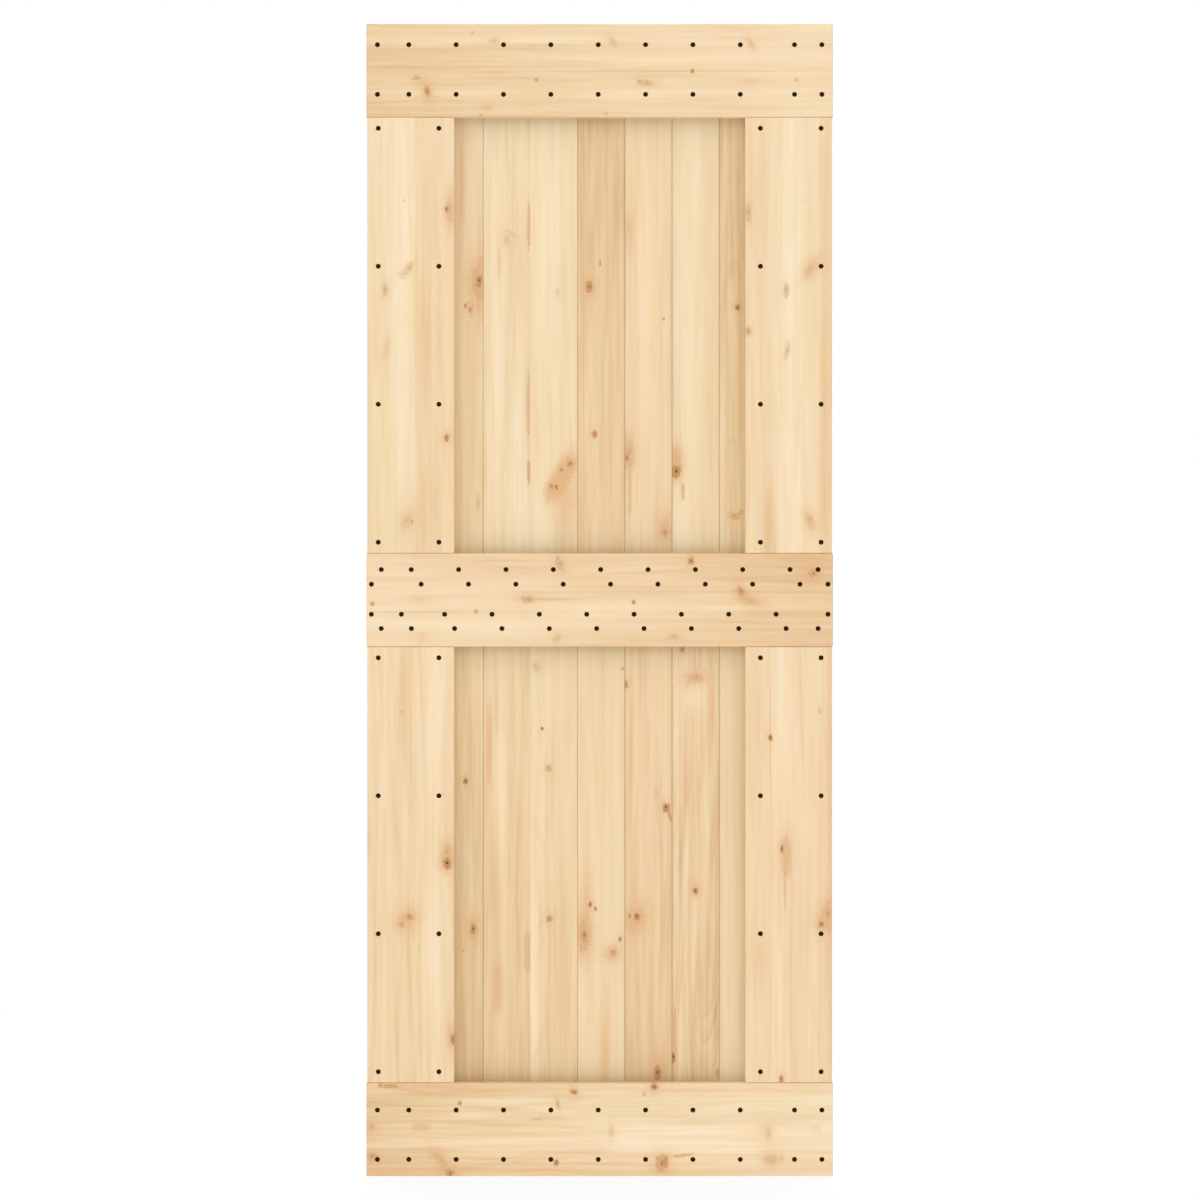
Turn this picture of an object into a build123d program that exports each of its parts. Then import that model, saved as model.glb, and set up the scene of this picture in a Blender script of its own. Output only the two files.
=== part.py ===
from build123d import *
from math import radians, tan
import os

# Plank sliding door leaf of solid pine, in millimetres.
# Two tiers of upright tongue-and-groove boards form the panel. Three rails and four stiles are
# screwed onto its front through countersunk holes, and the middle rail ties the tiers together.
# The front looks towards -Y, +Z is up, and the origin is in the middle of the top rail's front face.

# Overall sizes of the leaf
DOOR_WIDTH = 850.0
DOOR_HEIGHT = 2100.0
EDGE_SETBACK = 1.5  # how far stiles and boards stand back from the ends of the rails

# Front frame
FRAME_THICKNESS = 18.0
RAIL_WIDTH = 170.0
STILE_WIDTH = 158.0
BUTT_GAP = 0.3  # hairline between the end of a stile and a rail
ARRIS_RADIUS = 2.0  # rounding of the front edges

# Tongue-and-groove boards
BOARD_THICKNESS = 18.0
BOARD_PITCH = 86.3  # from seam to seam
NARROWEST_EDGE_BOARD = 30.0  # a narrower strip isn't sawn: one full board fewer is laid instead
LAYOUT_SHIFT = 2.85  # the full boards are laid this far to the right of the middle
SEAM_GAP = 0.4
SEAM_CHAMFER = 0.8
CLOSED_SEAM = 3  # this seam, counted from 0 at the left, is cramped shut and has no chamfer
TONGUE_THICKNESS = 5.6
TONGUE_LENGTH = 6.0
TONGUE_CHAMFER = 0.7
GROOVE_CLEARANCE = 0.2  # on each face of the tongue
GROOVE_END_ROOM = 0.6  # beyond the tip of the tongue
TIER_GAP = 0.8  # between the upper and the lower boards, behind the middle rail

# Holes for countersunk wood screws
SCREW_HOLE_RADIUS = 2.6
COUNTERSINK_RADIUS = 5.0
COUNTERSINK_ANGLE = 90.0
SCREW_HOLE_SIDES = 12  # the many small holes are faceted, which keeps the planks light
# Top and bottom rails: two rows each, given from the rail's edges
TOP_RAIL_UPPER_INSET = 38.0
TOP_RAIL_LOWER_INSET = 41.5
BOTTOM_RAIL_UPPER_INSET = 49.5
BOTTOM_RAIL_LOWER_INSET = 30.5
RAIL_SCREW_SHIFT = -5.5  # from the middle line of a full board
LAST_SCREW_SHIFT = 7.0  # the same on the last full board
EDGE_SCREW_INSET = 18.5  # on the edge boards, from the edge of the panel
# Middle rail: two rows for the upper boards and two for the lower ones, staggered
HIGH_ROW_INSET, HIGH_ROW_SHIFT = 29.5, -1.0
UPPER_ROW_INSET, UPPER_ROW_SHIFT = 56.2, 17.0
LOWER_ROW_INSET, LOWER_ROW_SHIFT = 59.0, -26.5
LOW_ROW_INSET, LOW_ROW_SHIFT = 33.0, -8.3
FIRST_BOARD_EASE = 7.5  # on the first full board, the two lower rows keep this far further from its edge
OUTER_EDGE_SCREW_INSET = 7.5  # on the edge boards, in the two inner rows
INNER_EDGE_SCREW_INSET = 25.5  # on the edge boards, in the two outer rows
# Stiles: two columns
STILE_SCREW_ROWS = 4
STILE_END_INSET = 20.0
STILE_OUTER_INSET = 20.0
STILE_INNER_INSET = 27.5

# Levels and edges that follow from the sizes above
TOP = RAIL_WIDTH / 2
BOTTOM = TOP - DOOR_HEIGHT
MIDDLE = (TOP + BOTTOM) / 2
BOTTOM_RAIL_Z = BOTTOM + RAIL_WIDTH / 2
STILE_LENGTH = (DOOR_HEIGHT - 3 * RAIL_WIDTH) / 2 - 2 * BUTT_GAP
PANEL_EDGE = DOOR_WIDTH / 2 - EDGE_SETBACK
BOARD_MIDDLE_Y = FRAME_THICKNESS + BOARD_THICKNESS / 2
FULL_BOARDS = int(2 * (PANEL_EDGE - NARROWEST_EDGE_BOARD) / BOARD_PITCH)
FIRST_SEAM = LAYOUT_SHIFT - FULL_BOARDS * BOARD_PITCH / 2
SEAMS = [FIRST_SEAM + i * BOARD_PITCH for i in range(FULL_BOARDS + 1)]
BOARD_EDGES = [-PANEL_EDGE, *SEAMS, PANEL_EDGE]
BOARD_LINES = [seam + BOARD_PITCH / 2 for seam in SEAMS[:-1]]
COUNTERSINK_DEPTH = (COUNTERSINK_RADIUS - SCREW_HOLE_RADIUS) / tan(radians(COUNTERSINK_ANGLE / 2))

# What one screw takes out of a plank: a countersink over a clearance hole, from z = 0 downwards
with BuildPart() as screw_hole:
    with BuildSketch():
        RegularPolygon(COUNTERSINK_RADIUS, SCREW_HOLE_SIDES)
    extrude(amount=-COUNTERSINK_DEPTH, taper=COUNTERSINK_ANGLE / 2)
    with BuildSketch():
        RegularPolygon(SCREW_HOLE_RADIUS, SCREW_HOLE_SIDES)
    extrude(amount=-FRAME_THICKNESS)


def frame_plank(name, width, height, x, z, screws):
    """A rail or stile: a plank with rounded front edges and countersunk screw holes.
    x and z are its middle, and the screws are given from there."""
    front = Plane.XZ.shift_origin((x, 0, z))
    with BuildPart(front) as plank:
        with BuildSketch(front):
            Rectangle(width, height)
        extrude(amount=-FRAME_THICKNESS)
        fillet(plank.faces().sort_by(Axis.Y)[0].edges(), ARRIS_RADIUS)
        with Locations(*screws):
            add(screw_hole.part, mode=Mode.SUBTRACT)
    plank.part.label = name
    export_step(plank.part, f"parts/{name}.step")


def screw_row(z, shifts, edge_inset):
    """A row of screws across a rail: one in each edge board and one in each full board."""
    edge = PANEL_EDGE - edge_inset
    columns = [-edge, *(line + shift for line, shift in zip(BOARD_LINES, shifts)), edge]
    return [(x, z) for x in columns]


def rail_screws(upper_inset, lower_inset):
    """Two straight rows on the top or the bottom rail."""
    shifts = [RAIL_SCREW_SHIFT] * (FULL_BOARDS - 1) + [LAST_SCREW_SHIFT]
    upper_row = screw_row(RAIL_WIDTH / 2 - upper_inset, shifts, EDGE_SCREW_INSET)
    lower_row = screw_row(lower_inset - RAIL_WIDTH / 2, shifts, EDGE_SCREW_INSET)
    return upper_row + lower_row


def middle_rail_screws():
    """Four staggered rows, so that neighbouring screws don't split the grain of a board."""
    rows = (
        (RAIL_WIDTH / 2 - HIGH_ROW_INSET, HIGH_ROW_SHIFT, 0, INNER_EDGE_SCREW_INSET),
        (RAIL_WIDTH / 2 - UPPER_ROW_INSET, UPPER_ROW_SHIFT, 0, OUTER_EDGE_SCREW_INSET),
        (LOWER_ROW_INSET - RAIL_WIDTH / 2, LOWER_ROW_SHIFT, FIRST_BOARD_EASE, OUTER_EDGE_SCREW_INSET),
        (LOW_ROW_INSET - RAIL_WIDTH / 2, LOW_ROW_SHIFT, FIRST_BOARD_EASE, INNER_EDGE_SCREW_INSET),
    )
    screws = []
    for z, shift, ease, inset in rows:
        shifts = [shift + ease] + [shift] * (FULL_BOARDS - 1)
        screws += screw_row(z, shifts, inset)
    return screws


def stile_screws(side):
    """Two columns down a stile. side is -1 for a left stile and 1 for a right one."""
    outer_column = side * (STILE_WIDTH / 2 - STILE_OUTER_INSET)
    inner_column = side * (STILE_INNER_INSET - STILE_WIDTH / 2)
    reach = STILE_LENGTH / 2 - STILE_END_INSET
    step = 2 * reach / (STILE_SCREW_ROWS - 1)
    levels = [reach - row * step for row in range(STILE_SCREW_ROWS)]
    return [(x, z) for x in (outer_column, inner_column) for z in levels]


def board(name, index, low, high):
    """An upright board between two levels, with a groove at its left and a tongue at its right.
    The edge boards are sawn plain on their outer side."""
    has_groove = index > 0
    has_tongue = index < len(BOARD_EDGES) - 2
    closed_left = index == CLOSED_SEAM + 1
    closed_right = index == CLOSED_SEAM
    left = BOARD_EDGES[index]
    if has_groove and not closed_left:
        left += SEAM_GAP / 2
    right = BOARD_EDGES[index + 1]
    if has_tongue and not closed_right:
        right -= SEAM_GAP / 2

    with BuildPart() as plank:
        with BuildSketch(Plane.XY.offset(low)) as profile:
            with Locations(((left + right) / 2, BOARD_MIDDLE_Y)):
                Rectangle(right - left, BOARD_THICKNESS)
            left_corners, right_corners = profile.vertices().group_by(Axis.X)
            if not closed_left:
                chamfer(left_corners, SEAM_CHAMFER)
            if not closed_right:
                chamfer(right_corners, SEAM_CHAMFER)
            if has_tongue:
                tip = right + TONGUE_LENGTH
                front_face = BOARD_MIDDLE_Y - TONGUE_THICKNESS / 2
                back_face = BOARD_MIDDLE_Y + TONGUE_THICKNESS / 2
                with BuildLine():
                    Polyline(
                        (right, front_face),
                        (tip - TONGUE_CHAMFER, front_face),
                        (tip, front_face + TONGUE_CHAMFER),
                        (tip, back_face - TONGUE_CHAMFER),
                        (tip - TONGUE_CHAMFER, back_face),
                        (right, back_face),
                        close=True,
                    )
                make_face()
            if has_groove:
                with Locations((left, BOARD_MIDDLE_Y)):
                    Rectangle(
                        TONGUE_LENGTH + GROOVE_END_ROOM,
                        TONGUE_THICKNESS + 2 * GROOVE_CLEARANCE,
                        align=(Align.MIN, Align.CENTER),
                        mode=Mode.SUBTRACT,
                    )
        extrude(amount=high - low)
    plank.part.label = name
    export_step(plank.part, f"parts/{name}.step")


os.makedirs("parts", exist_ok=True)

# Rails across the full width of the leaf
top_rail_screws = rail_screws(TOP_RAIL_UPPER_INSET, TOP_RAIL_LOWER_INSET)
bottom_rail_screws = rail_screws(BOTTOM_RAIL_UPPER_INSET, BOTTOM_RAIL_LOWER_INSET)
frame_plank("top_rail", DOOR_WIDTH, RAIL_WIDTH, 0, 0, top_rail_screws)
frame_plank("middle_rail", DOOR_WIDTH, RAIL_WIDTH, 0, MIDDLE, middle_rail_screws())
frame_plank("bottom_rail", DOOR_WIDTH, RAIL_WIDTH, 0, BOTTOM_RAIL_Z, bottom_rail_screws)

# Stiles between the rails, one pair to a tier
for tier, stile_z in (("upper", MIDDLE / 2), ("lower", (MIDDLE + BOTTOM_RAIL_Z) / 2)):
    for hand, side in (("left", -1), ("right", 1)):
        stile_x = side * (PANEL_EDGE - STILE_WIDTH / 2)
        frame_plank(f"{tier}_{hand}_stile", STILE_WIDTH, STILE_LENGTH, stile_x, stile_z, stile_screws(side))

# Boards, from the left edge to the right edge of each tier
for tier, low, high in (("upper", MIDDLE + TIER_GAP / 2, TOP), ("lower", BOTTOM, MIDDLE - TIER_GAP / 2)):
    for index in range(len(BOARD_EDGES) - 1):
        board(f"{tier}_board_{index + 1:02d}", index, low, high)
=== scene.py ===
import math
from collections import namedtuple

import bpy
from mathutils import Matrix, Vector


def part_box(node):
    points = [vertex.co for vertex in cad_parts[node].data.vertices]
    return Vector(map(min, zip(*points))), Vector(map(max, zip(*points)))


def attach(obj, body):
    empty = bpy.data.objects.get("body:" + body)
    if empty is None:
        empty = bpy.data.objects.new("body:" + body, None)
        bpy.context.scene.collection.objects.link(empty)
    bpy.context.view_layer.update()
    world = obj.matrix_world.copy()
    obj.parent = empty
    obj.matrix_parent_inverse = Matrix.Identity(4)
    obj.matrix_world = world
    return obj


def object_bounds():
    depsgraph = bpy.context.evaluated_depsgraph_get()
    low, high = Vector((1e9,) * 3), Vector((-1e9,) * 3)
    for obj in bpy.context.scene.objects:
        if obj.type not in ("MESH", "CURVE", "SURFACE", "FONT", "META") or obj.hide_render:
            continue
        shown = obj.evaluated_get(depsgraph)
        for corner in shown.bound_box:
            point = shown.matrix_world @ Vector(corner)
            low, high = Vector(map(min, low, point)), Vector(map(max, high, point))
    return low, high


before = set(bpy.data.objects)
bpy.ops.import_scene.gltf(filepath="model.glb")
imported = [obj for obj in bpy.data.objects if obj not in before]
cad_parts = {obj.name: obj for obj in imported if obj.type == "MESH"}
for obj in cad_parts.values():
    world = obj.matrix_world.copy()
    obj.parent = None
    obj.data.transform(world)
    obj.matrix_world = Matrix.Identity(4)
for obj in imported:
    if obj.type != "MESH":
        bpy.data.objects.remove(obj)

# A plank sliding door leaf of pale knotty pine with black countersunk screws.
# The wood is drawn in depth, so growth rings, glued strips and knots run on over edges and ends.

cad_low, cad_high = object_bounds()
MM = 0.001
TOP_MM = cad_high.z / MM
BOARDS = range(1, 12)

# Colours of the wood and the screws, as they look on a screen
PINE_RAMP = (
    (0.00, (250, 233, 202)),
    (0.25, (245, 224, 187)),
    (0.50, (238, 212, 170)),
    (0.75, (224, 193, 147)),
    (1.00, (199, 162, 115)),
)
STRAW_TINT = (254, 252, 249)
ROSY_TINT = (255, 245, 242)
GOLDEN_TINT = (255, 254, 246)
# painted shade: this colour darkens the boards beside the frame and along some seams
PAINTED_SHADE_TINT = (219, 223, 221)
AMBER = (227, 180, 130)
KNOT_RAMP = (
    (0.00, (224, 189, 143)),
    (0.25, (215, 174, 127)),
    (0.50, (202, 148, 96)),
    (0.80, (169, 115, 64)),
    (1.00, (103, 66, 33)),
)
SCREW_BLACK = (44, 23, 6)
SCREW_WORN = (70, 44, 22)
WEAR_SCALE, WEAR_FROM, WEAR_TO = 900.0, 0.5, 0.75  # the worn patches on the screws, per metre
SCREW_BUMP_DEPTH = 0.05 * MM
SCREW_BUMP_STRENGTH = 0.2
SCREW_ROUGHNESS, WEAR_ROUGHNESS = 0.45, 0.25
SCREW_SHINE = 0.05

# What the planks show. x is from the leaf's middle line and down from its top edge, wide and tall are
# the size of the feature, all in millimetres. tilt turns it anticlockwise, in degrees. core is how dark
# its heart is, halo how amber the wood round it is, and bend how far the rings flow aside for it.
# square is 2 for an ellipse and more for a form with straighter sides.
Feature = namedtuple("Feature", "x down wide tall tilt core halo bend square", defaults=(2,))


def knot(x, down, wide, tall, core=0.8, halo=0.6, tilt=0):
    """A sound branch knot with amber wood round it."""
    return Feature(x, down, wide, tall, tilt, core, halo, 1.0)


def pin(x, down, size, core):
    """A pin knot, small, with hardly any amber round it."""
    return Feature(x, down, size, size * 1.2, 0, core, 0.1, 0.8, 3)


def smudge(x, down, wide, tall, tilt=0, halo=0.3, core=0.28):
    """A knot just under the surface, which only tints it."""
    return Feature(x, down, wide, tall, tilt, core, halo, 0.7)


def streak(x, down, wide, tall, core=0.2, halo=0.5, tilt=0):
    """A stain or resin streak along the grain."""
    return Feature(x, down, wide, tall, tilt, core, halo, 0.0)


def stain(x, down, wide, tall, core=0.2, halo=0.8, tilt=0):
    """A resin stain with a plain edge."""
    return Feature(x, down, wide, tall, tilt, core, halo, 0.0, 4)


def pale(x, down, wide, tall, tilt=0):
    """A pale flame along the grain."""
    return Feature(x, down, wide, tall, tilt, 0.0, -0.6, 0.0)


def block(x, down, wide, tall):
    """A pale piece let in between darker ones."""
    return Feature(x, down, wide, tall, 0, 0.0, -0.5, 0.0, 10)


# A plank: tone is pale at 0 and tan at 1, drift what it gains from its top or left end to the other one,
# rosy the share of pink in its straw colour. The pith of the tree is given from the plank's middle line,
# from its front, and by how much deeper it lies a metre further up or to the right. ring is the width of a
# year's growth, sway how far the pith wanders, all in millimetres, and contrast how strong its grain is.
Plank = namedtuple("Plank", "tone drift rosy pith ring sway contrast features strips", defaults=((), ()))

# Rails and stiles are glued up from strips. start is a share of the plank's width, from the bottom or
# the left, tone and rosy are added, and pith is how far the strip's own pith lies aside.
Strip = namedtuple("Strip", "start tone pith rosy", defaults=(0,))
PITH_SPAN = 200.0  # how far apart the piths of two strips may lie

PLANKS = {
    "top_rail": Plank(0.41, -0.28, 0.5, (30, 60, 10), 9, 9, 0.14, (
        pin(-232, 16, 6, 0.34), smudge(-191, 31, 24, 16, 0, 0.2), smudge(25, 33, 14, 28, 35),
        smudge(276, 36, 14, 34, 35), pin(169, 86, 7, 0.7), streak(140, 86, 560, 2.6, 0.3, 0.2),
        knot(-314, 122, 11, 21, 0.62, 0.8, 15), smudge(-313, 124, 26, 34, 15, 0.5, 0.0),
        smudge(-333, 99, 17, 11, 0, 0.5, 0.42), pin(-115, 102, 7, 0.5), knot(73, 105, 9, 8, 0.44, 0.3),
        smudge(86, 108, 32, 14, 0, 0.5, 0.36), smudge(276, 107, 34, 14, 0, 0.2, 0.16),
        pin(359, 102, 7, 0.36), smudge(-205, 153, 24, 12), pin(12, 164, 7, 0.34),
        knot(-217, 167, 12, 7, 0.32, 0.3), streak(-352, 79, 120, 3, 0.36, 0.3),
        streak(-190, 88, 70, 4, 0.26, 0.3), streak(0, 152, 700, 3, 0.08, 0.2),
        streak(-330, 58, 190, 18, 0.0, 0.35), pale(-60, 125, 500, 14), pale(180, 60, 420, 18),
        pale(-250, 30, 300, 10),
    ), (
        Strip(0.0, 0.04, 60, -0.05), Strip(0.2, 0.02, -30), Strip(0.53, 0.02, 40, 0.18),
        Strip(0.78, -0.06, -60, -0.08),
    )),
    "middle_rail": Plank(0.43, 0.31, 0.6, (-10, 50, 10), 9, 10, 0.125, (
        smudge(-72, 984, 16, 30, 25, 0.5, 0.4), pin(-76, 974, 6, 0.45),
        knot(167, 979, 12, 17, 0.7, 0.8, -15), knot(390, 1001, 20, 18, 0.5, 1.0, 30),
        smudge(384, 1000, 46, 34, 0, 0.4, 0.0), knot(258, 1034, 14, 24, 0.55, 0.8, 25),
        smudge(276, 1052, 38, 16, -20, 0.9, 0.3), smudge(-325, 1049, 42, 15, 0, 0.3, 0.17),
        smudge(-130, 1049, 26, 17, 0, 0.6, 0.42), streak(-85, 1049, 70, 4, 0.2, 0.9),
        pin(62, 1054, 8, 0.64), smudge(-77, 1119, 24, 18, 40), smudge(136, 1117, 24, 15, 0, 0.4, 0.34),
        pin(-225, 1071, 7, 0.52), smudge(-323, 1119, 22, 28, 40, 0.2, 0.15), pin(-414, 1057, 8, 0.52),
        streak(-320, 1072, 190, 2.4, 0.32, 0.2), streak(330, 1035, 200, 6, 0.12, 0.6),
        streak(330, 1075, 190, 7, 0.1, 0.6), streak(-160, 978, 110, 3, 0.16, 0.3),
        streak(-10, 1035, 380, 3, 0.12, 0.2), pale(-180, 1095, 420, 16), pale(60, 1065, 380, 14),
        streak(330, 1120, 190, 20, 0.0, 0.35), streak(360, 972, 130, 14, 0.14, 0.7),
    ), (
        Strip(0.0, 0.0, 20), Strip(0.34, -0.03, -40, -0.05), Strip(0.68, 0.05, 40, 0.1),
    )),
    "bottom_rail": Plank(0.43, -0.36, 0.42, (10, 40, 40), 12, 24, 0.165, (
        knot(-46, 1947, 12, 10, 0.75, 0.9), streak(-50, 1938, 12, 16, 0.08, 0.4),
        knot(-76, 1968, 8, 26, 0.4, 0.5, 10), streak(-52, 1962, 46, 6, 0.14, 0.3, 12),
        pin(-255, 1967, 8, 0.62), streak(-254, 1959, 5, 10, 0.1, 0.2), knot(100, 1937, 14, 15, 0.78, 1.0),
        pin(81, 1950, 8, 0.38), knot(114, 2076, 26, 37, 0.54, 0.6, -10),
        streak(120, 2074, 11, 26, 0.7, 0.3, -12), streak(112, 2089, 18, 8, 0.42, 0.4),
        streak(314, 2070, 28, 20, 0.34, 0.9), streak(333, 2067, 5, 15, 0.36, 0.3),
        streak(152, 2062, 46, 7, 0.46, 0.2, 8),
        streak(240, 2061, 150, 3, 0.22, 0.3), smudge(-286, 2074, 16, 46, 35, 0.8, 0.34),
        smudge(-300, 2064, 20, 12, 0, 0.5), knot(-272, 2093, 22, 14, 0.62, 1.0),
        knot(-272, 2097, 7, 8, 0.95, 0.3), pin(-79, 2075, 10, 0.76),
        smudge(-414, 2064, 23, 21, 0, 0.6, 0.5), pin(-399, 1935, 8, 0.58),
        streak(-380, 1936, 32, 9, 0.58, 0.4), streak(-339, 1945, 78, 9, 0.12, 0.7, -10),
        streak(-199, 1943, 210, 26, 0.0, 0.4), smudge(298, 2010, 26, 8, 0, 0.1, 0.14),
        smudge(308, 2023, 12, 26, 0, 0.3), smudge(22, 2019, 13, 28, 0, 0.4),
        stain(-325, 2010, 32, 14, 0.24, 0.6), smudge(-416, 2010, 22, 22, 0, 0.7, 0.36),
        streak(-56, 2011, 66, 5, 0.16, 0.2, -6), smudge(-112, 1996, 28, 8), block(151, 2032, 250, 52),
        block(352, 2016, 62, 20), block(416, 2014, 22, 16), pale(-60, 2040, 400, 12),
        streak(0, 2092, 840, 8, 0.03, 0.5), pale(-150, 1962, 150, 10),
        streak(-185, 1957, 70, 6, 0.14, 0.3, -8), streak(-130, 1970, 60, 6, 0.12, 0.3, 6),
        streak(-104, 1986, 40, 7, 0.12, 0.3, -15), streak(-165, 1991, 110, 5, 0.15, 0.2, 3),
        streak(-215, 1975, 60, 5, 0.14, 0.2, -5), pale(-240, 1985, 60, 10), pale(-110, 1977, 70, 9, -8),
        streak(-395, 2094, 60, 10, 0.0, 0.6), streak(-330, 2052, 150, 3, 0.16, 0.2, 3),
        streak(-300, 2030, 220, 3, 0.12, 0.2, -2),
    ), (
        Strip(0.0, 0.05, -20, 0.2), Strip(0.26, -0.05, 30, 0.15), Strip(0.56, 0.01, -60, -0.3),
        Strip(0.9, 0.02, 10, 0.3),
    )),
    "upper_left_stile": Plank(0.35, 0.12, 0.4, (-20, 45, 20), 10, 8, 0.12, (
        knot(-279, 337, 8, 11, 0.72, 0.4), smudge(-273, 340, 15, 50, 0, 0.9, 0.3), pin(-356, 322, 5, 0.34),
        smudge(-347, 444, 18, 32, -30, 0.2, 0.34), smudge(-358, 456, 22, 18, 0, 0.2, 0.26),
        smudge(-391, 484, 12, 24, 0, 0.6, 0.36), smudge(-388, 590, 14, 44, -15, 0.3, 0.2),
        knot(-279, 754, 11, 14, 0.68, 1.0), smudge(-350, 905, 22, 33, -30, 0.5, 0.28),
        pin(-342, 907, 6, 0.5), streak(-300, 872, 4, 60, 0.18, 0.2), pale(-362, 330, 34, 420),
        pale(-362, 700, 30, 300), streak(-320, 560, 26, 120, 0, 0.4), streak(-340, 880, 40, 90, 0, 0.25),
    ), (
        Strip(0.0, 0.0, 0, -0.25), Strip(0.28, -0.01, 50, -0.15), Strip(0.55, 0.06, -60, 0.14),
        Strip(0.86, -0.02, 20, 0.06),
    )),
    "upper_right_stile": Plank(0.35, 0.08, 0.22, (25, 45, -20), 10, 8, 0.125, (
        smudge(271, 342, 13, 38, 0, 0.5, 0.38), pin(375, 322, 5, 0.2),
        smudge(384, 446, 19, 38, -35, 0.7, 0.3), smudge(340, 484, 13, 30, 0, 0.5, 0.4),
        smudge(342, 595, 12, 38, -12, 0.4, 0.32), smudge(382, 904, 18, 34, 25, 0.7, 0.3),
        pin(385, 901, 6, 0.38), streak(308, 922, 17, 140, 0.12, 0.85), knot(271, 560, 9, 11, 0.5, 1.0),
        pale(350, 400, 30, 500), pale(346, 800, 30, 300), streak(300, 420, 12, 300, 0, 0.25),
        streak(412, 600, 20, 420, 0, 0.3), streak(330, 690, 3, 260, 0.12, 0.1),
        streak(366, 700, 10, 260, 0.1, 0.1, -6),
    ), (
        Strip(0.0, 0.02, 20, 0.2), Strip(0.22, -0.03, -40, 0.15), Strip(0.5, -0.03, 50, -0.1),
        Strip(0.85, 0.07, -20, 0.35),
    )),
    "lower_left_stile": Plank(0.39, 0.1, 0.38, (10, 45, 20), 10, 8, 0.145, (
        pin(-360, 1253, 6, 0.34), knot(-278, 1529, 18, 21, 0.82, 1.0),
        smudge(-278, 1509, 17, 36, 0, 1.0, 0.36), smudge(-421, 1490, 9, 60, 0, 0.3, 0.2),
        knot(-347, 1627, 18, 13, 0.52, 0.7), knot(-361, 1641, 14, 13, 0.46, 0.5),
        smudge(-352, 1634, 36, 46, -40, 0.5, 0.1), smudge(-272, 1842, 16, 42, 0, 0.5, 0.22),
        knot(-268, 1850, 9, 21, 0.7, 0.6), streak(-345, 1330, 4, 300, 0.16, 0.2),
        streak(-360, 1240, 14, 160, 0.0, 0.5), pale(-300, 1290, 18, 240), pale(-300, 1700, 16, 260),
        streak(-410, 1650, 4, 200, 0.1, 0.2), streak(-325, 1200, 5, 120, 0.1, 0.3),
    ), (
        Strip(0.0, 0.0, 30, -0.1), Strip(0.3, 0.05, -40), Strip(0.55, -0.01, 20, 0.02),
    )),
    "lower_right_stile": Plank(0.35, 0.09, 0.5, (-15, 45, 20), 10, 8, 0.13, (
        knot(311, 1300, 8, 12, 0.9, 0.7), streak(311, 1290, 3, 220, 0.26, 0.4),
        streak(340, 1513, 22, 88, 0.36, 0.6), knot(332, 1503, 8, 16, 0.74, 0.5),
        streak(338, 1580, 4, 80, 0.26, 0.7), smudge(401, 1251, 8, 14, 0, 0.3, 0.34),
        knot(416, 1622, 15, 30, 0.42, 1.0), knot(404, 1640, 11, 12, 0.75, 0.8),
        smudge(408, 1634, 32, 46, 0, 0.5, 0.08), knot(331, 1922, 10, 15, 0.7, 0.7),
        streak(420, 1450, 8, 800, 0.0, 0.7), streak(350, 1720, 4, 260, 0.1, 0.3), pale(330, 1260, 24, 160),
        smudge(292, 1700, 22, 70, 0, 0.4, 0.1), streak(282, 1280, 26, 260, 0, 0.25),
    ), (
        Strip(0.0, 0.02, 0, 0.1), Strip(0.3, -0.03, 50, 0.1), Strip(0.52, 0.04, -40),
        Strip(0.88, 0.06, 20),
    )),
    "upper_board_01": Plank(0.44, 0.0, 0.4, (20, 50, 20), 7, 10, 0.14),
    "upper_board_02": Plank(0.37, 0.0, 0.4, (-10, 45, 40), 8, 14, 0.14, (
        knot(-330, 300, 14, 18), knot(-345, 740, 10, 16),
    )),
    "upper_board_03": Plank(0.44, 0.1, 0.1, (-90, 20, 10), 6, 10, 0.08, (
        smudge(-223, 470, 22, 62, 0, 1.0, 0.36), knot(-220, 466, 14, 24, 0.74, 0.7),
        knot(-245, 512, 6, 8, 0.7, 0.4), knot(-236, 519, 8, 15, 0.5, 0.7),
        smudge(-222, 872, 10, 34, 0, 0.3, 0.3), streak(-252, 270, 9, 180, 0.0, 0.7),
        streak(-232, 600, 14, 200, 0, 0.35), streak(-256, 430, 4, 60, 0.2, 0.1),
        streak(-218, 450, 8, 160, 0, 0.6),
    )),
    "upper_board_04": Plank(0.36, 0.08, 0.1, (-35, 30, 30), 10, 10, 0.14, (
        smudge(-170, 392, 15, 24, 20, 0.3), streak(-163, 379, 8, 28, 0.26, 0.2, 60),
        streak(-184, 430, 7, 64, 0.28, 0.2), streak(-129, 360, 9, 96, 0.42, 0.1),
        streak(-130, 690, 10, 124, 0.38, 0.6), streak(-129, 812, 9, 52, 0.5, 0.3),
        pale(-190, 600, 18, 500), pale(-150, 850, 20, 260), streak(-158, 290, 6, 150, 0.06, 0.35),
        streak(-152, 420, 4, 120, 0.12, 0.1), streak(-196, 700, 4, 200, 0.08, 0.2),
    )),
    "upper_board_05": Plank(0.34, 0.1, 0.06, (30, 50, 30), 13, 12, 0.12, (
        stain(-70, 824, 32, 96, 0.15, 0.8, -32), smudge(-58, 858, 40, 56, 0, 0.5, 0.06),
        knot(-54, 801, 12, 14, 0.66, 0.6), knot(-70, 812, 8, 9.6, 0.6, 0.3),
        knot(-88, 842, 12, 11, 0.58, 0.5), knot(-79, 843, 8, 9.6, 0.78, 0.3),
        streak(-94, 864, 7, 28, 0.2, 0.4, -15), streak(-62, 925, 26, 130, 0.0, 0.45),
        smudge(-77, 487, 8, 18, 0, 0.2, 0.26), pale(-108, 920, 18, 140), pale(-95, 400, 30, 400),
    )),
    "upper_board_06": Plank(0.6, -0.27, 0.42, (80, 30, 10), 6, 8, 0.12, (
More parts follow.
